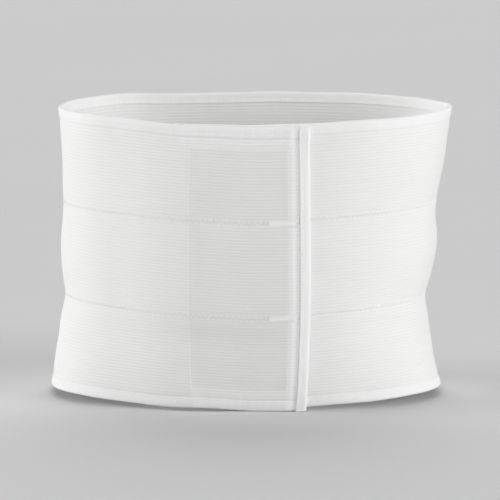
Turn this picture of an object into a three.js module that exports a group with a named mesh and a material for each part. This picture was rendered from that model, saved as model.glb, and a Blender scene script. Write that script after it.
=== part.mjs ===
// An abdominal binder in the form that it has when worn: three elastic bands sewn edge to edge,
// bound with tape along both long edges and across both ends, wrapped once round a waist, and
// closed in front by a hook patch on the inside of the outer end.
//
// Millimetres. +Z is up, the front faces -Y, and the left side, as it is worn, is at +X. The origin
// is the middle of the hollow that a waist fills, at half the binder's height.
//
// Every piece is first drawn flat, as it is cut: X runs along the binder from the middle of the
// front, Y is the height from the lower edge, and Z is the thickness, outward. Then it is wrapped
// round the waist.

import * as THREE from "three";

// The elastic
const BAND_HEIGHT = 76; // one band, from selvedge to selvedge
const BAND_NAMES = ["lower_band", "middle_band", "upper_band"];
const ELASTIC = 2; // thickness
const SELVEDGE_BEVEL = 0.6; // along the outer corners of each band, so that a seam is a groove
const SEAM_GAP = 0.3; // between two bands, where the joining stitch runs

// The binding tape and the hook patch
const TAPE = 0.6; // thickness
const TAPE_REACH = 8; // how far the tape comes over an edge
const HOOK = 1.5; // thickness
const HOOK_LENGTH = 84; // along the binder
const HOOK_MARGIN = 6; // from the patch to the tape on three sides
const TOUCH = 0.3; // between two pieces that lie on each other

// Where the ends lie, measured round the waist from the middle of the front
const OUTER_END = 47; // to the left
const INNER_GAP = 3; // from the hook patch to the tape on the inner end, which lies to the right
const LEVEL_RUN = 3; // the outer layer stays lifted this far past the inner end's tape
const RAMP_RUN = 50; // and comes down to the waist in this length
const OUTER_DROP = 2; // the outer end sits this much lower than the layer under it
const DROP_RUN = 150; // and the drop grows over this length

// The waist that fills the hollow
const WAIST_WIDTH = 294; // from side to side, about the narrowest level
const FRONT_DEPTH = 110; // from the axis to the front
const BACK_DEPTH = 102; // from the axis to the back
const FRONT_DIP = 5; // both edges hang this much lower in the middle of the front
const FRONT_FULLNESS = 2.05; // 2 is an ellipse, and more is squarer
const BACK_FULLNESS = 2.45;
const DIP_SHARPNESS = 1.3; // 1 is a pointed dip, and more is rounder

// Levels of the waist. height is a share of the binder's height, left and right are shares of half
// the waist's width, and front and back are shares of the two depths.
const LEVELS = [
  { height: 0.0, left: 1.05, right: 1.092, front: 0.935, back: 1.12 },
  { height: 0.12, left: 1.006, right: 1.068, front: 0.975, back: 1.06 },
  { height: 0.32, left: 0.976, right: 1.028, front: 1.0, back: 1.0 },
  { height: 0.5, left: 1.02, right: 1.037, front: 1.0, back: 0.985 },
  { height: 0.66, left: 1.023, right: 1.027, front: 0.995, back: 1.0 },
  { height: 0.82, left: 1.065, right: 1.027, front: 0.985, back: 1.04 },
  { height: 1.0, left: 1.098, right: 1.046, front: 0.97, back: 1.09 },
];
const WAIST_LEVEL = 0.32; // the level whose girth the lengths are measured on

// Facets
const STEPS_ROUND = 62; // once round the waist, the same for the outer layer as for the inner one
const BAND_RISES = 3; // between the tape's reaches at a band's two edges

const HEIGHT = BAND_NAMES.length * BAND_HEIGHT + (BAND_NAMES.length - 1) * SEAM_GAP;
const LIFT = ELASTIC + Math.max(HOOK + 2 * TOUCH, 2 * TAPE + 3 * TOUCH); // of the outer layer
const HOOK_INSET = TAPE_REACH + HOOK_MARGIN; // of the patch from the edges of the elastic
const INNER_END = HOOK_INSET + HOOK_LENGTH + INNER_GAP + TAPE_REACH - OUTER_END; // to the right

const levels = new THREE.CubicInterpolant(
  LEVELS.map((row) => row.height),
  LEVELS.flatMap((row) => [row.left, row.right, row.front, row.back]),
  4,
);

// Distance from the axis to the waist's surface, at an angle from the front towards the left.
function waistRadius(angle, level) {
  const [left, right, front, back] = levels.evaluate(THREE.MathUtils.clamp(level, 0, 1));
  const ahead = Math.cos(angle);
  const aside = Math.sin(angle);
  const width = (WAIST_WIDTH / 2) * (aside > 0 ? left : right);
  const depth = ahead > 0 ? FRONT_DEPTH * front : BACK_DEPTH * back;
  const fullness = ahead > 0 ? FRONT_FULLNESS : BACK_FULLNESS;
  const across = Math.abs(aside / width) ** fullness;
  const along = Math.abs(ahead / depth) ** fullness;
  return (across + along) ** (-1 / fullness);
}

// The waist's surface as a closed curve at one level, once round from the middle of the front.
class Girth extends THREE.Curve {
  constructor(level) {
    super();
    this.level = level;
    this.arcLengthDivisions = 720;
  }

  getPoint(turn, target = new THREE.Vector3()) {
    const angle = 2 * Math.PI * turn;
    const radius = waistRadius(angle, this.level);
    return target.set(radius * Math.sin(angle), -radius * Math.cos(angle), 0);
  }
}

const girth = new Girth(WAIST_LEVEL);
const GIRTH = girth.getLength();
const STEP = GIRTH / STEPS_ROUND;
const START = -INNER_END;
const END = GIRTH + OUTER_END;

function angleAt(along) {
  const turns = Math.floor(along / GIRTH);
  return 2 * Math.PI * (turns + girth.getUtoTmapping(along / GIRTH - turns));
}

// How far the inner face lies off the waist: nothing on the first turn, and LIFT where the outer
// end lies over the inner one.
function liftAt(along) {
  const rampEnd = GIRTH - INNER_END - TOUCH - TAPE - LEVEL_RUN;
  return LIFT * THREE.MathUtils.smoothstep(along, rampEnd - RAMP_RUN, rampEnd);
}

function dropAt(along, angle) {
  const dip = Math.cos(angle) > 0 ? 1 - Math.abs(Math.sin(angle)) ** DIP_SHARPNESS : 0;
  return FRONT_DIP * dip + OUTER_DROP * THREE.MathUtils.smoothstep(along, END - DROP_RUN, END);
}

// Takes a point of the flat pattern to its place round the waist.
function wrapPoint(point) {
  const { x: along, y: height, z: out } = point;
  const angle = angleAt(along);
  const level = height / HEIGHT;
  const nearby = 1e-3; // radians
  const radius = waistRadius(angle, level);
  const slope = (waistRadius(angle + nearby, level) - waistRadius(angle - nearby, level)) / (2 * nearby);
  const outward = new THREE.Vector2(radius, -slope).normalize().multiplyScalar(out + liftAt(along));
  const fromAxis = radius + outward.x;
  return point.set(
    fromAxis * Math.sin(angle) + outward.y * Math.cos(angle),
    -fromAxis * Math.cos(angle) + outward.y * Math.sin(angle),
    height - HEIGHT / 2 - dropAt(along, angle),
  );
}

function wrap(flat) {
  const position = flat.getAttribute("position");
  const point = new THREE.Vector3();
  for (let i = 0; i < position.count; i += 1) {
    wrapPoint(point.fromBufferAttribute(position, i));
    position.setXYZ(i, point.x, point.y, point.z);
  }
  flat.computeVertexNormals();
  return flat;
}

// Stations from low to high on one grid that all pieces share, so that their facets lie parallel.
function stations(low, high, grid) {
  const clear = 1; // a station this near an end is left out
  return [low, ...grid.filter((at) => at > low + clear && at < high - clear), high];
}

function alongStations(low, high) {
  const first = Math.ceil(low / STEP);
  const last = Math.floor(high / STEP);
  const grid = Array.from({ length: last - first + 1 }, (_, i) => (first + i) * STEP);
  return stations(low, high, grid);
}

// Heights above a band's lower edge at which its faces are broken.
function bandHeights() {
  const rise = (BAND_HEIGHT - 2 * TAPE_REACH) / BAND_RISES;
  const between = Array.from({ length: BAND_RISES + 1 }, (_, i) => TAPE_REACH + i * rise);
  return [0, ...between, BAND_HEIGHT];
}

const heightGrid = BAND_NAMES.flatMap((_, i) =>
  bandHeights().map((height) => i * (BAND_HEIGHT + SEAM_GAP) + height),
);

// A flat piece with one outline all the way: the outline is extruded one unit for each span, and
// the units are then moved to the stations.
function extruded(outline, places, toFlat) {
  const shape = new THREE.Shape(outline.map(([x, y]) => new THREE.Vector2(x, y)));
  const spans = places.length - 1;
  const geometry = new THREE.ExtrudeGeometry(shape, { depth: spans, steps: spans, bevelEnabled: false });
  const position = geometry.getAttribute("position");
  for (let i = 0; i < position.count; i += 1) {
    position.setZ(i, places[Math.round(position.getZ(i))]);
  }
  return geometry.applyMatrix4(toFlat);
}

const X = new THREE.Vector3(1, 0, 0);
const Y = new THREE.Vector3(0, 1, 0);
const Z = new THREE.Vector3(0, 0, 1);

// The outline holds [height, thickness] points, and runs along the binder.
function alongBinder(outline, low, high) {
  return extruded(outline, alongStations(low, high), new THREE.Matrix4().makeBasis(Y, Z, X));
}

// The outline holds [thickness, along] points, and runs up the binder.
function upBinder(outline, low, high) {
  return extruded(outline, stations(low, high, heightGrid), new THREE.Matrix4().makeBasis(Z, X, Y));
}

// A band: the inner face, and the outer face with its two long corners bevelled.
function bandGeometry(index) {
  const foot = index * (BAND_HEIGHT + SEAM_GAP);
  const heights = bandHeights();
  const inner = heights.map((height) => [foot + height, 0]);
  const outer = heights.slice(1, -1).map((height) => [foot + height, ELASTIC]);
  const bevelled = ELASTIC - SELVEDGE_BEVEL;
  return alongBinder(
    [
      ...inner,
      [foot + BAND_HEIGHT, bevelled],
      [foot + BAND_HEIGHT - SELVEDGE_BEVEL, ELASTIC],
      ...outer.reverse(),
      [foot + SELVEDGE_BEVEL, ELASTIC],
      [foot, bevelled],
    ],
    START,
    END,
  );
}

// Tape folded over an edge, as [distance from the edge into the cloth, thickness] points.
function foldedTape() {
  const under = -TOUCH;
  const over = ELASTIC + TOUCH;
  return [
    [TAPE_REACH, under - TAPE],
    [TAPE_REACH, under],
    [-TOUCH, under],
    [-TOUCH, over],
    [TAPE_REACH, over],
    [TAPE_REACH, over + TAPE],
    [-TOUCH - TAPE, over + TAPE],
    [-TOUCH - TAPE, under - TAPE],
  ];
}

// The long tapes run from one end's tape to the other's.
const longTape = { low: START + TAPE_REACH + TOUCH, high: END - TAPE_REACH - TOUCH };

function lowerTapeGeometry() {
  return alongBinder(foldedTape(), longTape.low, longTape.high);
}

function upperTapeGeometry() {
  const outline = foldedTape().map(([inside, out]) => [HEIGHT - inside, out]);
  return alongBinder(outline.reverse(), longTape.low, longTape.high);
}

const endTape = { low: -TOUCH - TAPE, high: HEIGHT + TOUCH + TAPE };

function innerTapeGeometry() {
  const outline = foldedTape().map(([inside, out]) => [out, START + inside]);
  return upBinder(outline.reverse(), endTape.low, endTape.high);
}

function outerTapeGeometry() {
  const outline = foldedTape().map(([inside, out]) => [out, END - inside]);
  return upBinder(outline, endTape.low, endTape.high);
}

// The patch hangs on the inner face of the outer end, and seats on the layer under it.
function hookGeometry() {
  const heights = stations(HOOK_INSET, HEIGHT - HOOK_INSET, heightGrid);
  const inner = heights.map((height) => [height, -TOUCH - HOOK]);
  const outer = heights.map((height) => [height, -TOUCH]);
  const end = END - HOOK_INSET;
  return alongBinder([...inner, ...outer.reverse()], end - HOOK_LENGTH, end);
}

const elastic = new THREE.MeshStandardMaterial({ color: 0xf0f0ee, roughness: 0.9, metalness: 0 });
const tape = new THREE.MeshStandardMaterial({ color: 0xf5f5f4, roughness: 0.8, metalness: 0 });
const hook = new THREE.MeshStandardMaterial({ color: 0xe9e9e6, roughness: 0.7, metalness: 0 });

function piece(name, flat, material) {
  const mesh = new THREE.Mesh(wrap(flat), material);
  mesh.name = name;
  return mesh;
}

const binder = new THREE.Group();
BAND_NAMES.forEach((name, index) => binder.add(piece(name, bandGeometry(index), elastic)));
binder.add(
  piece("lower_edge_tape", lowerTapeGeometry(), tape),
  piece("upper_edge_tape", upperTapeGeometry(), tape),
  piece("inner_end_tape", innerTapeGeometry(), tape),
  piece("outer_end_tape", outerTapeGeometry(), tape),
  piece("hook_patch", hookGeometry(), hook),
);

export default binder;
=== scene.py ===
# An abdominal binder as it is worn: three ribbed elastic bands sewn edge to edge with a zigzag,
# bound with folded tape, wrapped once round a waist, and closed in front by a hook patch.
#
# Lengths are millimetres until a mesh is made. +Z is up, the front faces -Y, and the left side,
# as it is worn, is at +X. Every piece is first laid out flat, as rows of (along, height, out):
# the way along the binder from the middle of the front, the height from the lower edge, and the
# distance outward. wrap() then takes it round the waist, as the drawing of the part does.

import math
from collections import namedtuple

import bpy
import numpy as np
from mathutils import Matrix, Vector


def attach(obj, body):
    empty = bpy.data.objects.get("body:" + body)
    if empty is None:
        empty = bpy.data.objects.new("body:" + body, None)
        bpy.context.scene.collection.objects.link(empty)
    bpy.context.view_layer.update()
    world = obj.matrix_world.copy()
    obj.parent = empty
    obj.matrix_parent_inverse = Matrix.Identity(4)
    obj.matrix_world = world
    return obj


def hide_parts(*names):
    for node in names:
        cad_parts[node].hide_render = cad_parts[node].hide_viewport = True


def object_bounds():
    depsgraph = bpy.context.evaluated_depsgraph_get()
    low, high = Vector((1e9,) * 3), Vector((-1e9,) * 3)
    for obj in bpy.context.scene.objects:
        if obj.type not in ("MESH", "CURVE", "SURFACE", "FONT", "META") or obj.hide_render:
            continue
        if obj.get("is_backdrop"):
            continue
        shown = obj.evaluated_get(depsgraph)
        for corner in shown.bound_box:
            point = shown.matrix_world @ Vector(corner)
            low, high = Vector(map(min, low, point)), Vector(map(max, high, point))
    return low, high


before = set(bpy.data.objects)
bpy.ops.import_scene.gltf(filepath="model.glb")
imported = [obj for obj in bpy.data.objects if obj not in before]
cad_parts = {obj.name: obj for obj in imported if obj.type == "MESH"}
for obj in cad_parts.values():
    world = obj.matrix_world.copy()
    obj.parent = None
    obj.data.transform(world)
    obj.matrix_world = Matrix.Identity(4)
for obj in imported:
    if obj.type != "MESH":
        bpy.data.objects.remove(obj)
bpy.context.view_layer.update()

MM = 0.001

# The elastic, as drawn
BAND_HEIGHT = 76
BANDS = ["lower_band", "middle_band", "upper_band"]
ELASTIC = 2
SEAM_GAP = 0.3
HEIGHT = len(BANDS) * BAND_HEIGHT + (len(BANDS) - 1) * SEAM_GAP

# The tape and the hook patch, as drawn
TAPE = 0.6
TAPE_REACH = 8
HOOK = 1.5
HOOK_LENGTH = 84
HOOK_MARGIN = 6
DRAWN_TOUCH = 0.3
HOOK_INSET = TAPE_REACH + HOOK_MARGIN

# Where the layers lie, as drawn
OUTER_END = 47
INNER_GAP = 3
INNER_END = HOOK_INSET + HOOK_LENGTH + INNER_GAP + TAPE_REACH - OUTER_END
LEVEL_RUN = 3
RAMP_RUN = 50
OUTER_DROP = 2
DROP_RUN = 150
LIFT = ELASTIC + max(HOOK + 2 * DRAWN_TOUCH, 2 * TAPE + 3 * DRAWN_TOUCH)
END_LEAN = 1.3  # beyond the hook patch the outer end bends in this far, onto the cloth under it
END_LEAN_FADE = 20  # and less over this length towards its corners, where the tapes lie thicker

# The waist, as drawn
WAIST_WIDTH = 294
FRONT_DEPTH = 110
BACK_DEPTH = 102
FRONT_DIP = 5
FRONT_FULLNESS = 2.05
BACK_FULLNESS = 2.45
DIP_SHARPNESS = 1.3
WAIST_LEVEL = 0.32

# height is a share of the binder's height, left and right are shares of half the waist's width,
# and front and back are shares of the two depths.
Level = namedtuple("Level", "height left right front back")
LEVELS = [
    Level(0.0, left=1.05, right=1.092, front=0.935, back=1.12),
    Level(0.12, left=1.006, right=1.068, front=0.975, back=1.06),
    Level(0.32, left=0.976, right=1.028, front=1.0, back=1.0),
    Level(0.5, left=1.02, right=1.037, front=1.0, back=0.985),
    Level(0.66, left=1.023, right=1.027, front=0.995, back=1.0),
    Level(0.82, left=1.065, right=1.027, front=0.985, back=1.04),
    Level(1.0, left=1.098, right=1.046, front=0.97, back=1.09),
]

# The fine form of the cloth
CROWN = 0.55  # each band bulges this much between its seams
CLOSE = 0.04  # between two sewn pieces
SELVEDGE = 7  # the thinner margin of a band
SELVEDGE_SHARE = 0.92  # of the elastic's thickness, at the edge
SELVEDGE_ROUNDING = 0.09  # of a band's long edges
PATCH_FLATNESS = 3.6  # the hook patch holds the front this much flatter
PATCH_SOFTNESS = 5  # over about this length the cloth bends at its edges
PATCH_RIDGE = 0.3  # it shows through along its two upright edges
PATCH_RIDGE_WIDTH = 3
LOWER_LEAN = 4.5  # the lower band leans in this much more in front
LOWER_LEAN_REACH = 170
HEM_CURL = 2.2  # and its lower edge curls in this much further
HEM_CURL_HEIGHT = 14
SEWN_DIP = 0.4  # how deep the cloth is drawn in beside a long tape
END_DIP = 0.6  # and between the hook patch and the tape of the outer end
SEWN_DIP_WIDTH = 2

# Soft folds and dents. where is the way round the waist from the middle of the front and height
# is above the lower edge; the fold runs length by width, turned by tilt degrees.
Fold = namedtuple("Fold", "where height length width depth tilt")
FOLDS = [
    Fold(where=205, height=72, length=75, width=10, depth=-1.8, tilt=-6),
    Fold(where=184, height=136, length=48, width=9, depth=-0.5, tilt=10),
    Fold(where=226, height=118, length=60, width=14, depth=0.7, tilt=4),
    Fold(where=150, height=40, length=42, width=8, depth=-0.45, tilt=22),
    Fold(where=-204, height=74, length=80, width=11, depth=-1.5, tilt=5),
    Fold(where=-188, height=34, length=50, width=9, depth=-0.6, tilt=-18),
    Fold(where=-216, height=140, length=62, width=13, depth=-0.6, tilt=-8),
    Fold(where=-112, height=56, length=60, width=12, depth=-1.0, tilt=-6),
    Fold(where=-30, height=57, length=45, width=11, depth=-0.9, tilt=-3),
    Fold(where=92, height=58, length=52, width=11, depth=-0.9, tilt=4),
    Fold(where=300, height=92, length=70, width=12, depth=-0.7, tilt=7),
    Fold(where=350, height=128, length=64, width=13, depth=-0.6, tilt=-9),
    Fold(where=-300, height=100, length=76, width=12, depth=-0.7, tilt=-5),
    Fold(where=-345, height=62, length=58, width=11, depth=-0.5, tilt=12),
]

# Gentle waves of the two free edges: how far out and up they go, and how long they are
Wave = namedtuple("Wave", "out up length phase")
WAVES = [
    Wave(out=0.5, up=0.5, length=163, phase=0.6),
    Wave(out=0.35, up=0.3, length=97, phase=2.1),
    Wave(out=0.2, up=0.15, length=58, phase=4.4),
]
WAVE_DEPTH = 30  # how far in from an edge the waves reach

# Small gathers beside the stitches: how many go round the waist, their share, and their phase
PUCKER = 0.13  # their depth
PUCKER_REACH = 5.5  # how far they reach to either side of the stitches
Pucker = namedtuple("Pucker", "count share phase")
PUCKERS = [
    Pucker(count=71, share=0.45, phase=0.4),
    Pucker(count=47, share=0.35, phase=1.9),
    Pucker(count=103, share=0.2, phase=5.1),
]

# Sewing thread
THREAD = 0.32  # thickness
THREAD_SIDES = 6
STITCH_SHARES = np.array([0, 0.14, 0.5, 0.86, 1])  # places along one stitch
STITCH_RISES = np.array([-0.9, -0.2, 0.0, -0.2, -0.9])  # its rise there, of the thread's thickness
SEAM_STITCH = 4.4  # one zigzag along a seam
SEAM_WIDTH = 6
SEAM_START = 1  # it starts this far from the inner end's tape
SEAM_SINK = 0.08  # the middle of its thread lies this far under the face of the cloth
TAPE_STITCH = 4
TAPE_STITCH_WIDTH = 2.2
TAPE_STITCH_INSET = 2.2  # from the tape's edge to the middle of its stitches
TAPE_PINCH = 0.2  # how far the stitches press the tape in
PATCH_STITCH = 3
PATCH_STITCH_INSET = 2.5
TACK_START = 15  # each seam ends in close stitches that run from here
TACK_LENGTH = 21  # this far along
TACK_WIDTH = 6
TACK_STITCH = 0.45
TACK_RISE = 0.15  # the middle of their thread lies this far above the face of the cloth

# Where the tapes meet at a corner
CORNER_GAP = 1.2  # a long tape stops this far short of the end of the cloth
CORNER_RUN = 3  # the end tape climbs over the long one in this length
CORNER_OVER = 0.7  # and reaches this far past the long edge

# The hook patch
HOOK_BASE = 0.6  # thickness of its woven base
HOOK_BASE_ROUNDING = 0.4
HOOK_WIRE = 0.3
HOOK_WIRE_SIDES = 4
HOOK_PITCH = 2.6
HOOK_ROOT = 0.1  # a hook starts this far inside the base
HOOK_CURL = np.array([[0, 0], [0, 0.55], [0.3, 0.72], [0.62, 0.5]])  # up the binder, and in

# How finely the pieces are divided
GIRTH_STEPS = 720
NEARBY = 1e-3  # radians, between places whose difference gives the waist's slope
ROUNDING_TURNS = [14, 32, 50, 70, 90]  # degrees, round an edge
SHARP_ANGLE = 50  # degrees, from which an edge is shaded sharp
BAND_STEP = 1.9
BAND_RISE = 2  # the step up a band
END_STEP = 0.8  # the bands are finer than BAND_STEP near the outer end
END_STEP_START = 8  # from this far before the hook patch ends
TAPE_STEP = 1.5
TAPE_FOLD_STEP = 0.9
PATCH_STEP = 2.5

# The grain of the materials: pitches, sizes and reliefs
RIB_PITCH = 2.53
RIB_RELIEF = 0.07
RIB_DRIFT = 0.7  # how far the ribs and picks stray
DRIFT_SIZE = 30
PICK_PITCH = 1.1
PICK_RELIEF = 0.05
NAP_SIZE = 0.8
NAP_RELIEF = 0.05
SLUB_SIZE = 9
SLUB_RELIEF = 0.1
BLOTCH_SIZE = 45
PATCH_PAINTED_SHADE = 0.055  # painted shade: the elastic's colour is this much darker where the hook patch lies under it
PATCH_PAINTED_SHADE_SOFTNESS = 5
TAPE_RIB_PITCH = 1.0
TAPE_RIB_RELIEF = 0.06
TAPE_FUZZ_SIZE = 0.5
TAPE_FUZZ_RELIEF = 0.02
TAPE_BLOTCH_SIZE = 12
TAPE_BLOTCH_RELIEF = 0.12
THREAD_TWIST = 0.6
THREAD_RELIEF = 0.03
WEAVE_PITCH_ALONG = 0.9
WEAVE_PITCH_UP = 0.7
WEAVE_RELIEF = 0.06
NYLON_FUZZ_SIZE = 1.5
NYLON_FUZZ_RELIEF = 0.02
FLOOR_CLOUD_SIZE = 400

# The studio. An azimuth is 0 in front and grows towards +X; all the angles are degrees.
FLOOR_REACH = 12.0  # metres from the middle of the floor to its sides
WORLD_STRENGTH = 0.1
Light = namedtuple("Light", "name azimuth elevation spread strength")
LIGHTS = [
    Light("left_light", azimuth=-84, elevation=10, spread=40, strength=3.2),
    Light("right_light", azimuth=62, elevation=10, spread=40, strength=3.0),
    Light("front_light", azimuth=0, elevation=50, spread=50, strength=0.5),
    Light("back_light", azimuth=180, elevation=40, spread=60, strength=1.4),
]

# The camera
CAMERA_DISTANCE = 3.85  # metres
CAMERA_ELEVATION = 7.7  # degrees
CAMERA_AIM = -4  # how far above the middle of the hollow it is aimed
CAMERA_FAR = 50  # metres
LENS = 338


def hermite(at, rows):
    """The rows' columns after the first, on a smooth curve through them."""
    table = np.array(rows)
    knots, values = table[:, 0], table[:, 1:]
    secants = np.diff(values, axis=0) / np.diff(knots)[:, None]
    slopes = np.vstack([secants[:1], (secants[1:] + secants[:-1]) / 2, secants[-1:]])
    at = np.clip(at, knots[0], knots[-1])
    i = np.clip(np.searchsorted(knots, at, side="right") - 1, 0, len(knots) - 2)
    span = (knots[i + 1] - knots[i])[:, None]
    t = (at - knots[i])[:, None] / span
    return (
        values[i] * (1 + 2 * t) * (1 - t) ** 2
        + values[i + 1] * (3 - 2 * t) * t**2
        + slopes[i] * span * t * (1 - t) ** 2
        - slopes[i + 1] * span * (1 - t) * t**2
    )


def smoothstep(value, low, high):
    t = np.clip((value - low) / (high - low), 0, 1)
    return t * t * (3 - 2 * t)


def waist_radius(angle, level):
    """How far the inner face lies from the axis; the angle is 0 in front and grows towards +X."""
    left, right, front, back = hermite(level, LEVELS).T
    ahead, aside = np.cos(angle), np.sin(angle)
    width = WAIST_WIDTH / 2 * np.where(aside > 0, left, right)
    depth = np.where(ahead > 0, FRONT_DEPTH * front, BACK_DEPTH * back)
    fullness = np.where(ahead > 0, FRONT_FULLNESS, BACK_FULLNESS)
    total = np.abs(aside / width) ** fullness + np.abs(ahead / depth) ** fullness
    return total ** (-1 / fullness)


def girth_table():
    """Lengths round the waist, and the share of a turn at each."""
    turns = np.linspace(0, 1, GIRTH_STEPS + 1)
    angles = 2 * np.pi * turns
    radius = waist_radius(angles, np.full_like(angles, WAIST_LEVEL))
    steps = np.hypot(np.diff(radius * np.sin(angles)), np.diff(radius * np.cos(angles)))
    return np.concatenate([[0], np.cumsum(steps)]), turns


GIRTH_LENGTHS, GIRTH_TURNS = girth_table()
GIRTH = GIRTH_LENGTHS[-1]
START = -INNER_END
END = GIRTH + OUTER_END
PATCH_END = END - HOOK_INSET
PATCH_START = PATCH_END - HOOK_LENGTH


def angle_at(along):
    """The angle round the waist; it goes on past a whole turn where the binder overlaps."""
    whole = np.floor(along / GIRTH)
    return 2 * np.pi * (whole + np.interp(along - whole * GIRTH, GIRTH_LENGTHS, GIRTH_TURNS))


def lift_at(along, height):
    """How far out the binder lies to go over its own inner end, less the lean of its outer end."""
    ramp_end = GIRTH - INNER_END - DRAWN_TOUCH - TAPE - LEVEL_RUN
    inside = np.minimum(height, HEIGHT - height)
    lean = END_LEAN * np.clip((along - END + HOOK_INSET) / HOOK_INSET, 0, 1) ** 2
    lean *= smoothstep(inside, TAPE_REACH, TAPE_REACH + END_LEAN_FADE)
    return LIFT * smoothstep(along, ramp_end - RAMP_RUN, ramp_end) - lean


def drop_at(along, angle):
    """How far the binder dips in front, and a little more towards its outer end."""
    dip = np.where(np.cos(angle) > 0, 1 - np.abs(np.sin(angle)) ** DIP_SHARPNESS, 0)
    return FRONT_DIP * dip + OUTER_DROP * smoothstep(along, END - DROP_RUN, END)


def round_waist(distance):
    """A distance between two places round the waist, the short way."""
    return (distance + GIRTH / 2) % GIRTH - GIRTH / 2


def crown(height):
    """How far each band bulges out."""
    pitch = BAND_HEIGHT + SEAM_GAP
    share = np.clip((height - np.floor(height / pitch) * pitch) / BAND_HEIGHT, 0, 1)
    return CROWN * (1 - np.abs(2 * share - 1) ** 3)


def fold_depth(where, height):
    """How far out the folds and dents take the cloth; a dent's depth is negative."""
    total = np.zeros_like(where)
    for fold in FOLDS:
        tilt = math.radians(fold.tilt)
        away, above = round_waist(where - fold.where), height - fold.height
        run = (away * math.cos(tilt) + above * math.sin(tilt)) / fold.length
        across = (above * math.cos(tilt) - away * math.sin(tilt)) / fold.width
        total += fold.depth * np.exp(-(run**2) - across**2)
    return total


def patch_relief(where):
    """Deepest along the patch's middle, with a low ridge just inside its two upright edges."""
    middle = OUTER_END - HOOK_INSET - HOOK_LENGTH / 2
    inside = HOOK_LENGTH / 2 - np.abs(where - middle)
    soft = (inside + np.hypot(inside, PATCH_SOFTNESS)) / 2
    share = np.clip(1 - soft / (HOOK_LENGTH / 2), 0, 1)
    ridge = np.exp(-((inside / PATCH_RIDGE_WIDTH - 1) ** 2))
    return PATCH_RIDGE * ridge - PATCH_FLATNESS * (1 - share**2)


def lower_lean(where, height):
    """The lower band leans in, soonest just below its seam, and most in the middle of the front.
    There its lower edge curls in too."""
    share = np.clip(height / BAND_HEIGHT, 0, 1)
    curl = HEM_CURL * np.clip(1 - height / HEM_CURL_HEIGHT, 0, None) ** 2
    in_front = 1 - smoothstep(np.abs(where), 0, LOWER_LEAN_REACH)
    return -in_front * (LOWER_LEAN * (1 - share**2) + curl)


def sewn_dips(where, height):
    """The cloth is drawn in beside the two long tapes, and just before the outer end's tape."""
    beside_edge = (np.minimum(height, HEIGHT - height) - TAPE_REACH) / SEWN_DIP_WIDTH
    before_end = (where - OUTER_END + (HOOK_INSET + TAPE_REACH) / 2) / SEWN_DIP_WIDTH
    return -SEWN_DIP * np.exp(-(beside_edge**2)) - END_DIP * np.exp(-(before_end**2))


def puckers(where, height):
    """Small uneven gathers along the two seams and along the stitches of the long tapes."""
    rows = seam_heights() + [TAPE_REACH, HEIGHT - TAPE_REACH]
    total = np.zeros_like(where)
    for number, row in enumerate(rows):
        near = np.exp(-(((height - row) / PUCKER_REACH) ** 2))
        for pucker in PUCKERS:
            turn = 2 * np.pi * pucker.count * where / GIRTH + pucker.phase * (number + 1)
            total += PUCKER * pucker.share * near * np.sin(turn)
    return total


def edge_waves(where, height):
    """How far the cloth goes out and up near its two long edges."""
    upper = smoothstep(height, HEIGHT - WAVE_DEPTH, HEIGHT)
    lower = smoothstep(-height, -WAVE_DEPTH, 0)
    out, up = np.zeros_like(where), np.zeros_like(where)
    for wave in WAVES:
        count = round(GIRTH / wave.length)
        turn = 2 * np.pi * count * where / GIRTH + wave.phase
        swing = upper * np.sin(turn) + lower * np.cos(turn)
        out += wave.out * swing
        up += wave.up * swing
    return out, up


def wrap(flat):
    """Takes an array whose last axis is (along, height, out) to its place round the waist."""
    along, height, out = flat.reshape(-1, 3).T
    where = round_waist(along)
    angle = angle_at(along)
    level = height / HEIGHT
    radius = waist_radius(angle, level)
    rise = waist_radius(angle + NEARBY, level) - waist_radius(angle - NEARBY, level)
    slope = rise / (2 * NEARBY)
    wave_out, wave_up = edge_waves(where, height)
    relief = crown(height) + fold_depth(where, height) + patch_relief(where)
    relief += lower_lean(where, height) + sewn_dips(where, height)
    relief += puckers(where, height) + wave_out
    push = (out + lift_at(along, height) + relief) / np.hypot(radius, slope)
    from_axis = radius + push * radius
    sideways = -push * slope
    placed = np.stack(
        [
            from_axis * np.sin(angle) + sideways * np.cos(angle),
            -from_axis * np.cos(angle) + sideways * np.sin(angle),
            height - HEIGHT / 2 - drop_at(along, angle) + wave_up,
        ],
        axis=-1,
    )
    return placed.reshape(flat.shape)


def make_piece(name, points, quads, cloth, material):
    """A mesh piece that rides with the binder; cloth holds each point's place on the flat cloth."""
    mesh = bpy.data.meshes.new(name)
    mesh.from_pydata(points * MM, [], quads)
    mesh.update()
    mesh.shade_smooth()
    mesh.set_sharp_from_angle(angle=math.radians(SHARP_ANGLE))
    corners = np.empty(len(mesh.loops), dtype=np.int32)
    mesh.loops.foreach_get("vertex_index", corners)
    layer = mesh.uv_layers.new(name="cloth")
    layer.data.foreach_set("uv", (cloth * MM)[corners].astype(np.float32).ravel())
    mesh.materials.append(material)
    piece = bpy.data.objects.new(name, mesh)
    bpy.context.scene.collection.objects.link(piece)
    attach(piece, "root")
    return piece


def spaced(low, high, step):
    """Even places from low to high, at most this step apart."""
    return np.linspace(low, high, max(2, math.ceil((high - low) / step) + 1))


def strip_profile(width, step, edge):
    """Places across a strip, close together at its rounded edges, and the share of its full
    thickness at each."""
    turn = np.radians(ROUNDING_TURNS)
    rounding = edge * (1 - np.cos(turn))
    inner = spaced(edge, width - edge, step)[1:-1]
    places = np.concatenate([rounding, inner, (width - rounding)[::-1]])
    shares = np.concatenate([np.sin(turn), np.ones_like(inner), np.sin(turn)[::-1]])
    return places, shares


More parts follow.
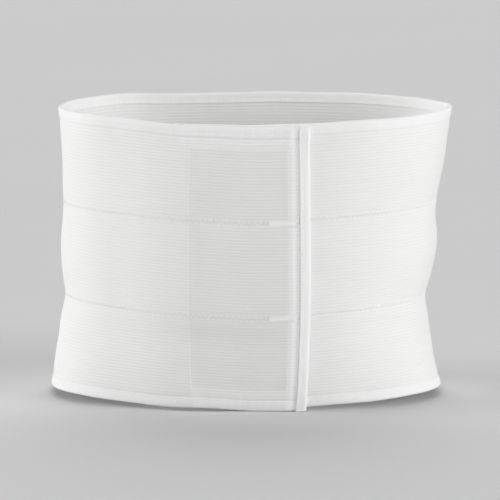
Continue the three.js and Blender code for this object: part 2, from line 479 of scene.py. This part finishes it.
def sweep(near, far, stations, lay):
    """Flat rows and faces of a strip with two sides, near and far, swept along the stations. lay
    turns (station, side points) into flat rows; the strip is closed at both ends."""
    ring = np.concatenate([near, far[::-1]])
    count, size = len(stations), len(ring)
    flat = lay(stations[:, None], ring[None, :, :])
    index = np.arange(count * size).reshape(count, size)
    following = np.roll(index, -1, axis=1)
    walls = np.stack([index[:-1], following[:-1], following[1:], index[1:]], axis=-1).reshape(-1, 4)
    k = np.arange(size // 2 - 1)
    cap = np.stack([k, size - 1 - k, size - 2 - k, k + 1], axis=-1)
    last = (count - 1) * size
    return flat, np.concatenate([walls, cap, cap[:, ::-1] + last])


def outward_faces(points, quads):
    """The quads, turned round if they face inward as a whole."""
    a, b, c, d = (points[quads[:, k]] for k in range(4))
    volume = np.sum(a * (np.cross(b, c) + np.cross(c, d)))
    return quads if volume > 0 else quads[:, ::-1]


def lay_along(station, ring):
    """Side points are (height, out), and the stations run along the binder."""
    along = np.broadcast_to(station, (station.shape[0], ring.shape[1]))
    height = np.broadcast_to(ring[..., 0], along.shape)
    out = np.broadcast_to(ring[..., 1], along.shape)
    return np.stack([along, height, out], axis=-1)


def strip_piece(name, near, far, stations, lay, material, slot):
    flat, quads = sweep(near, far, stations, lay)
    points = wrap(flat).reshape(-1, 3)
    cloth = flat.reshape(-1, 3)[:, :2]
    return make_piece(name, points, outward_faces(points, quads), cloth, material)


def band_thickness(height):
    """Thinner towards the two selvedges; height is above the band's own lower edge."""
    inside = np.minimum(height, BAND_HEIGHT - height)
    share = SELVEDGE_SHARE + (1 - SELVEDGE_SHARE) * smoothstep(inside, 0, SELVEDGE)
    return ELASTIC * share


def band_piece(index, material):
    reach = (SEAM_GAP - CLOSE) / 2
    foot = index * (BAND_HEIGHT + SEAM_GAP) - reach
    places, shares = strip_profile(BAND_HEIGHT + 2 * reach, BAND_RISE, SELVEDGE_ROUNDING)
    full = band_thickness(places - reach)
    near = np.stack([foot + places, full / 2 * (1 - shares)], axis=-1)
    far = np.stack([foot + places, full / 2 * (1 + shares)], axis=-1)
    name = BANDS[index]
    fine = PATCH_END - END_STEP_START
    stations = np.concatenate([spaced(START, fine, BAND_STEP), spaced(fine, END, END_STEP)[1:]])
    piece = strip_piece(name + "_cloth", near, far, stations, lay_along, material, "elastic")
    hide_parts(name)
    return piece


def folded_sides():
    """The two sides of a tape folded over an edge, as (inside, out), its inner side first, and the
    way out of the fold at each place. Its stitches pinch the legs thinner."""
    radius = ELASTIC / 2 + CLOSE + TAPE / 2
    leg = TAPE_REACH - ELASTIC / 2
    arc = math.pi * radius
    places, shares = strip_profile(2 * leg + arc, TAPE_FOLD_STEP, TAPE / 2)
    fold = np.clip(places - leg, 0, arc) / radius
    reach = np.where(places < leg, leg - places, np.maximum(places - leg - arc, 0))
    centre = np.stack(
        [
            ELASTIC / 2 + reach - radius * np.sin(fold),
            ELASTIC / 2 - radius * np.cos(fold),
        ],
        axis=-1,
    )
    normal = np.stack([-np.sin(fold), -np.cos(fold)], axis=-1)
    half = (TAPE / 2 * shares)[:, None]
    stitched = leg - TAPE_STITCH_INSET + ELASTIC / 2
    near_stitch = np.exp(-(((centre[:, 0] - stitched) / TAPE_STITCH_WIDTH) ** 2))
    press = TAPE_PINCH * near_stitch * (reach > 0)
    outer = centre + normal * (half - press[:, None])
    return centre - normal * half, outer, normal


def long_tape_piece(name, node, upper, material):
    """The tape along one long edge. It runs on under the end tapes."""
    near, far, _ = folded_sides()
    if upper:
        near, far = ([HEIGHT, 0] + side * [-1, 1] for side in (near, far))
    stations = spaced(START + CORNER_GAP, END - CORNER_GAP, TAPE_STEP)
    piece = strip_piece(name, near, far, stations, lay_along, material, "tape")
    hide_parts(node)
    return piece


def end_tape_piece(name, node, edge, inward, material):
    """The tape across one end, over the two long tapes at the corners. inward is the way from the
    end into the cloth, 1 or -1."""
    near, far, normal = folded_sides()
    sides = [np.concatenate([side, normal], axis=-1) for side in (near, far)]

    def lay_up(station, ring):
        inside = np.minimum(station, HEIGHT - station)
        rise = (TAPE + CLOSE) * (1 - smoothstep(inside, TAPE_REACH, TAPE_REACH + CORNER_RUN))
        into = ring[..., 0] + rise * ring[..., 2]
        out = ring[..., 1] + rise * ring[..., 3]
        return np.stack([edge + inward * into, np.broadcast_to(station, into.shape), out], axis=-1)

    stations = spaced(-CORNER_OVER, HEIGHT + CORNER_OVER, TAPE_STEP)
    piece = strip_piece(name, *sides, stations, lay_up, material, "tape")
    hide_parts(node)
    return piece


def patch_base_piece(material):
    places, shares = strip_profile(HEIGHT - 2 * HOOK_INSET, PATCH_STEP, HOOK_BASE_ROUNDING)
    face = -CLOSE - HOOK_BASE / 2
    near = np.stack([HOOK_INSET + places, face - HOOK_BASE / 2 * shares], axis=-1)
    far = np.stack([HOOK_INSET + places, face + HOOK_BASE / 2 * shares], axis=-1)
    stations = spaced(PATCH_START, PATCH_END, PATCH_STEP)
    piece = strip_piece("hook_patch_base", near, far, stations, lay_along, material, "hook")
    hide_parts("hook_patch")
    return piece


def thread_piece(name, paths, thickness, sides, beside, material):
    """Round threads along paths, an array of (thread, point, place on the flat cloth). beside is a
    flat direction that no thread runs in."""
    core = wrap(paths)
    run = np.gradient(core, axis=1)
    across = np.cross(run, wrap(paths + np.array(beside)) - core)
    across /= np.linalg.norm(across, axis=-1, keepdims=True)
    above = np.cross(across, run)
    above /= np.linalg.norm(above, axis=-1, keepdims=True)
    turn = 2 * np.pi * np.arange(sides) / sides
    around = across[:, :, None] * np.cos(turn)[:, None] + above[:, :, None] * np.sin(turn)[:, None]
    points = core[:, :, None] + thickness / 2 * around
    count, length = paths.shape[:2]
    index = np.arange(count * length * sides).reshape(count, length, sides)
    following = np.roll(index, -1, axis=2)
    walls = np.stack([index[:, :-1], index[:, 1:], following[:, 1:], following[:, :-1]], axis=-1)
    k = np.arange(sides // 2 - 1)
    cap = np.stack([k, k + 1, sides - 2 - k, sides - 1 - k], axis=-1)
    quads = np.concatenate(
        [
            walls.reshape(-1, 4),
            index[:, 0][:, cap].reshape(-1, 4),
            index[:, -1][:, cap[:, ::-1]].reshape(-1, 4),
        ]
    )
    points = points.reshape(-1, 3)
    cloth = np.repeat(paths[..., :2], sides, axis=1).reshape(-1, 2)
    return make_piece(name, points, outward_faces(points, quads), cloth, material)


def stitches(starts, ends, surface, face):
    """Paths of single stitches from starts to ends, rows of (along, height), on a surface that
    lies this far out. face is 1 for an outer face and -1 for an inner one."""
    flat = starts[:, None] + (ends - starts)[:, None] * STITCH_SHARES[:, None]
    out = np.broadcast_to(surface, flat.shape[:2]) + face * THREAD * STITCH_RISES
    return np.concatenate([flat, out[..., None]], axis=-1)


def zigzag(low, high, stitch, middle, width, upright=False):
    """The turning points of a zigzag along the binder, or up it."""
    run = spaced(low, high, stitch / 2)
    aside = middle + width / 2 * (-1.0) ** np.arange(len(run))
    return np.stack([aside, run] if upright else [run, aside], axis=-1)


def both_faces(points, outer, inner):
    """Stitches between the points, on the outer face and on the inner one."""
    starts, ends = points[:-1], points[1:]
    return [stitches(starts, ends, outer, 1), stitches(starts, ends, inner, -1)]


def seam_heights():
    return [(i + 1) * (BAND_HEIGHT + SEAM_GAP) - SEAM_GAP / 2 for i in range(len(BANDS) - 1)]


def along_seams(low, high, stitch, width, rise):
    """A zigzag over each seam, on both faces of the cloth and this far above them."""
    outer = ELASTIC * (1 + SELVEDGE_SHARE) / 2 + rise
    paths = []
    for height in seam_heights():
        paths += both_faces(zigzag(low, high, stitch, height, width), outer, ELASTIC - outer)
    return np.concatenate(paths)


def seam_stitch_paths():
    low, high = START + TAPE_REACH + SEAM_START, GIRTH + TACK_START
    return along_seams(low, high, SEAM_STITCH, SEAM_WIDTH, -SEAM_SINK)


def tack_paths():
    """The close stitches in which each seam ends, beside the outer end."""
    low = GIRTH + TACK_START
    return along_seams(low, low + TACK_LENGTH, TACK_STITCH, TACK_WIDTH, TACK_RISE)


def tape_stitch_paths():
    inset = TAPE_REACH - TAPE_STITCH_INSET
    outer = ELASTIC + CLOSE + TAPE - TAPE_PINCH
    inner = -CLOSE - TAPE + TAPE_PINCH
    paths = []
    low, high = START + TAPE_REACH, END - TAPE_REACH
    for height in (inset, HEIGHT - inset):
        row = zigzag(low, high, TAPE_STITCH, height, TAPE_STITCH_WIDTH)
        paths += both_faces(row, outer, inner)
    foot, head = TAPE_REACH, HEIGHT - TAPE_REACH
    for along in (START + inset, END - inset):
        row = zigzag(foot, head, TAPE_STITCH, along, TAPE_STITCH_WIDTH, upright=True)
        paths += both_faces(row, outer, inner)
    return np.concatenate(paths)


def patch_stitch_paths():
    """One row all round the hook patch, a little inside its edge."""
    low, high = PATCH_START + PATCH_STITCH_INSET, PATCH_END - PATCH_STITCH_INSET
    foot, head = HOOK_INSET + PATCH_STITCH_INSET, HEIGHT - HOOK_INSET - PATCH_STITCH_INSET
    across, up = spaced(low, high, PATCH_STITCH), spaced(foot, head, PATCH_STITCH)
    rows = [
        np.stack([across, np.full_like(across, foot)], axis=-1),
        np.stack([across, np.full_like(across, head)], axis=-1),
        np.stack([np.full_like(up, low), up], axis=-1),
        np.stack([np.full_like(up, high), up], axis=-1),
    ]
    paths = []
    for row in rows:
        paths += both_faces(row, ELASTIC, -CLOSE - HOOK_BASE)
    return np.concatenate(paths)


def hook_paths():
    """Small hooks in rows over the patch: each stands in from the base and curls over."""
    margin = 2 * PATCH_STITCH_INSET
    across = spaced(PATCH_START + margin, PATCH_END - margin, HOOK_PITCH)
    up = spaced(HOOK_INSET + margin, HEIGHT - HOOK_INSET - margin, HOOK_PITCH)
    foot = np.stack(np.meshgrid(across, up), axis=-1).reshape(-1, 1, 2)
    height = foot[..., 1] + HOOK_CURL[:, 0]
    out = -CLOSE - HOOK_BASE + HOOK_ROOT - HOOK_CURL[:, 1]
    return np.stack([foot[..., 0] + 0 * height, height, out + 0 * height], axis=-1)


class Value:
    """A socket in a material's nodes. An expression of values adds its Math nodes."""

    def __init__(self, shader, socket):
        self.shader, self.socket = shader, socket

    def maths(self, operation, *values):
        return self.shader.node("ShaderNodeMath", {"operation": operation}, *values)

    def __add__(self, other):
        return self.maths("ADD", self, other)

    def __sub__(self, other):
        return self.maths("SUBTRACT", self, other)

    def __rsub__(self, other):
        return self.maths("SUBTRACT", other, self)

    def __mul__(self, other):
        return self.maths("MULTIPLY", self, other)

    def __truediv__(self, other):
        return self.maths("DIVIDE", self, other)

    def __rtruediv__(self, other):
        return self.maths("DIVIDE", other, self)

    __radd__ = __add__
    __rmul__ = __mul__

    def sine(self):
        return self.maths("SINE", self)

    def clamped(self):
        return self.shader.node("ShaderNodeClamp", {}, self)


class Shader:
    """One material and its nodes."""

    def __init__(self, name):
        self.material = bpy.data.materials.new(name)
        self.material.use_nodes = True
        self.tree = self.material.node_tree
        self.tree.nodes.clear()

    def node(self, kind, settings, *values, out=0, numbered=(), **named):
        """A node of this kind: its settings first, then its sockets in order, by number or by
        name. Gives its output with the number out."""
        made = self.tree.nodes.new(kind)
        for setting, value in settings.items():
            setattr(made, setting, value)
        sockets = list(zip(made.inputs, values))
        sockets += [(made.inputs[number], value) for number, value in numbered]
        for name, value in named.items():
            sockets.append((made.inputs[name.replace("_", " ")], value))
        for socket, value in sockets:
            if isinstance(value, Value):
                self.tree.links.new(value.socket, socket)
            else:
                socket.default_value = value
        return Value(self, made.outputs[out]) if made.outputs else None

    def cloth_place(self):
        """The place on the flat cloth, in metres along and up, as one vector and as two values."""
        place = self.node("ShaderNodeUVMap", {"uv_map": "cloth"})
        return (
            place,
            self.node("ShaderNodeSeparateXYZ", {}, place),
            self.node("ShaderNodeSeparateXYZ", {}, place, out=1),
        )

    def between(self, value, low, high, soft):
        """1 where a length in metres lies between two in millimetres, and 0 beyond them."""
        above = ((value - low * MM) / (soft * MM)).clamped()
        below = ((high * MM - value) / (soft * MM)).clamped()
        return above * below

    def noise(self, place, size, detail=2.0, stretch=(1, 1, 1)):
        """Noise from 0 to 1, with lumps of this size in millimetres."""
        scaled = self.node("ShaderNodeVectorMath", {"operation": "MULTIPLY"}, place, stretch)
        scale = 1 / (size * MM)
        return self.node("ShaderNodeTexNoise", {}, Vector=scaled, Scale=scale, Detail=detail)

    def mix(self, factor, low, high):
        """A colour between low and high."""
        colours = [(0, factor), (6, low), (7, high)]
        return self.node("ShaderNodeMix", {"data_type": "RGBA"}, numbered=colours, out=2)

    def bump(self, relief):
        """The normal over a relief, a height in metres."""
        return self.node("ShaderNodeBump", {}, Strength=1.0, Distance=1.0, Height=relief)

    def finish(self, **sockets):
        """Ends the material with a surface that has these sockets."""
        surface = self.node("ShaderNodeBsdfPrincipled", {}, **sockets)
        self.node("ShaderNodeOutputMaterial", {}, surface)
        return self.material


def ripple(value, pitch):
    """A wave from 0 to 1 over a length in metres, with this pitch in millimetres."""
    return (value * (2 * math.pi / (pitch * MM))).sine() * 0.5 + 0.5


def grey(level, warmth=0.0):
    """A near white, as a linear colour; warmth takes some blue out."""
    return (level, level * (1 - warmth / 3), level * (1 - warmth), 1)


def elastic_material():
    """Brushed elastic: ribs over the rubber threads, fine picks across them, and a soft nap."""
    shader = Shader("white_elastic")
    place, along, up = shader.cloth_place()
    drift = shader.noise(place, DRIFT_SIZE, stretch=(0.35, 1, 1)) - 0.5
    ribs = ripple(up + drift * (RIB_DRIFT * MM), RIB_PITCH)
    picks = ripple(along + drift * (RIB_DRIFT * MM), PICK_PITCH)
    nap = shader.noise(place, NAP_SIZE, detail=3.0)
    slubs = shader.noise(place, SLUB_SIZE, stretch=(0.12, 1, 1))
    relief = ribs * (RIB_RELIEF * MM) + picks * ribs * (PICK_RELIEF * MM)
    relief += nap * (NAP_RELIEF * MM) + slubs * (SLUB_RELIEF * MM)
    blotch = shader.noise(place, BLOTCH_SIZE, detail=3.0)
    # Painted shade: the colour is darker in the valleys of the ribs and picks, while the nap and
    # the blotches vary the tone at random.
    light = (ribs * 0.35 + picks * 0.12 + nap * 0.25 + blotch * 0.28).clamped()
    colour = shader.mix(light, grey(0.73, 0.01), grey(0.83, 0.005))
    # Painted shade over the hook patch: the elastic's colour is mixed towards black there.
    painted_shade_over_patch = shader.between(along, PATCH_START, PATCH_END, PATCH_PAINTED_SHADE_SOFTNESS)
    painted_shade_over_patch *= shader.between(up, HOOK_INSET, HEIGHT - HOOK_INSET, PATCH_PAINTED_SHADE_SOFTNESS)
    return shader.finish(
        Base_Color=shader.mix(painted_shade_over_patch * PATCH_PAINTED_SHADE, colour, grey(0)),
        Roughness=0.95 - ribs * 0.08,
        Normal=shader.bump(relief),
        Sheen_Weight=0.25,
        Sheen_Roughness=0.5,
    )


def tape_material():
    """Folded tape with a close cross rib, whiter and a little smoother than the elastic."""
    shader = Shader("white_tape")
    place, along, _ = shader.cloth_place()
    ribs = ripple(along, TAPE_RIB_PITCH)
    fuzz = shader.noise(place, TAPE_FUZZ_SIZE)
    blotch = shader.noise(place, TAPE_BLOTCH_SIZE)
    relief = ribs * (TAPE_RIB_RELIEF * MM) + fuzz * (TAPE_FUZZ_RELIEF * MM)
    relief += blotch * (TAPE_BLOTCH_RELIEF * MM)
    # Painted shade: the colour is darker in the valleys of the ribs, while the fuzz and the
    # blotches vary the tone at random.
    light = (ribs * 0.4 + fuzz * 0.3 + blotch * 0.3).clamped()
    return shader.finish(
        Base_Color=shader.mix(light, grey(0.77, 0.006), grey(0.86, 0.002)),
        Roughness=0.8 - ribs * 0.1,
        Normal=shader.bump(relief),
        Sheen_Weight=0.15,
        Sheen_Roughness=0.4,
    )


def thread_material():
    """Twisted polyester thread: a slight gloss along its turns."""
    shader = Shader("white_thread")
    _, along, up = shader.cloth_place()
    twist = ripple(along + up, THREAD_TWIST)
    # Painted shade: the colour is darker between the turns of the twist.
    return shader.finish(
        Base_Color=shader.mix(twist, grey(0.84, 0.004), grey(0.93)),
        Roughness=0.55 + twist * 0.15,
        Normal=shader.bump(twist * (THREAD_RELIEF * MM)),
        Sheen_Weight=0.1,
    )


def hook_material():
    """The nylon of the hook patch, with the weave of its base."""
    shader = Shader("hook_nylon")
    place, along, up = shader.cloth_place()
    weave = ripple(along, WEAVE_PITCH_ALONG) * ripple(up, WEAVE_PITCH_UP)
    fuzz = shader.noise(place, NYLON_FUZZ_SIZE)
    relief = weave * (WEAVE_RELIEF * MM) + fuzz * (NYLON_FUZZ_RELIEF * MM)
    # Painted shade: the colour is darker in the hollows of the weave, while the fuzz varies the
    # tone at random.
    light = (weave * 0.6 + fuzz * 0.4).clamped()
    return shader.finish(
        Base_Color=shader.mix(light, grey(0.74, 0.01), grey(0.84, 0.006)),
        Roughness=0.5 + weave * 0.15,
        Normal=shader.bump(relief),
    )


def floor_material():
    shader = Shader("pale_floor")
    place = shader.node("ShaderNodeTexCoord", {}, out=3)
    cloud = shader.noise(place, FLOOR_CLOUD_SIZE)
    return shader.finish(Base_Color=shader.mix(cloud, grey(0.62), grey(0.64)), Roughness=0.85)


def distant_light(light):
    """Soft light from far off."""
    data = bpy.data.lights.new(light.name, "SUN")
    data.angle = math.radians(light.spread)
    data.energy = light.strength
    lamp = bpy.data.objects.new(light.name, data)
    turn, rise = math.radians(light.azimuth), math.radians(light.elevation)
    level = math.cos(rise)
    source = Vector((level * math.sin(turn), -level * math.cos(turn), math.sin(rise)))
    lamp.rotation_euler = source.to_track_quat("Z", "Y").to_euler()
    bpy.context.scene.collection.objects.link(lamp)


def studio(floor_height):
    """A pale floor, and plain soft light that comes mostly from both sides."""
    mesh = bpy.data.meshes.new("floor")
    reach = FLOOR_REACH
    corners = [(-reach, -reach), (reach, -reach), (reach, reach), (-reach, reach)]
    mesh.from_pydata([(x, y, floor_height) for x, y in corners], [], [(0, 1, 2, 3)])
    mesh.materials.append(floor_material())
    floor = bpy.data.objects.new("floor", mesh)
    bpy.context.scene.collection.objects.link(floor)
    floor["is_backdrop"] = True
    for light in LIGHTS:
        distant_light(light)
    world = bpy.data.worlds.new("studio")
    world.use_nodes = True
    background = world.node_tree.nodes["Background"]
    background.inputs["Color"].default_value = (1, 1, 1, 1)
    background.inputs["Strength"].default_value = WORLD_STRENGTH
    bpy.context.scene.world = world


def camera():
    """The photograph's view: straight on, and from a little above."""
    data = bpy.data.cameras.new("camera")
    data.lens = LENS
    data.clip_end = CAMERA_FAR
    view = bpy.data.objects.new("camera", data)
    elevation = math.radians(CAMERA_ELEVATION)
    back = Vector((0, -math.cos(elevation), math.sin(elevation)))
    target = Vector((0, 0, CAMERA_AIM * MM))
    view.location = target + back * CAMERA_DISTANCE
    view.rotation_euler = (-back).to_track_quat("-Z", "Y").to_euler()
    bpy.context.scene.collection.objects.link(view)
    bpy.context.scene.camera = view


def stitch_piece(name, paths, material):
    outward = (0, 0, 1)
    return thread_piece(name, paths, THREAD, THREAD_SIDES, outward, material)


def hooks_piece(material):
    along = (1, 0, 0)
    paths = hook_paths()
    name = "hook_patch_hooks"
    return thread_piece(name, paths, HOOK_WIRE, HOOK_WIRE_SIDES, along, material)


def binder():
    """Makes all the pieces of the binder."""
    elastic, tape = elastic_material(), tape_material()
    thread, hook = thread_material(), hook_material()
    bands = [band_piece(index, elastic) for index in range(len(BANDS))]
    lower = long_tape_piece("lower_edge_binding", "lower_edge_tape", False, tape)
    upper = long_tape_piece("upper_edge_binding", "upper_edge_tape", True, tape)
    inner = end_tape_piece("inner_end_binding", "inner_end_tape", START, 1, tape)
    outer = end_tape_piece("outer_end_binding", "outer_end_tape", END, -1, tape)
    patch = patch_base_piece(hook)
    hooks = hooks_piece(hook)
    seams = stitch_piece("seam_stitches", seam_stitch_paths(), thread)
    edges = stitch_piece("tape_stitches", tape_stitch_paths(), thread)
    tacks = stitch_piece("seam_tacks", tack_paths(), thread)
    around = stitch_piece("patch_stitches", patch_stitch_paths(), thread)
    length = (END - START) * MM


bpy.context.scene.view_settings.view_transform = "Standard"
camera()
binder()
studio(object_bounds()[0].z)
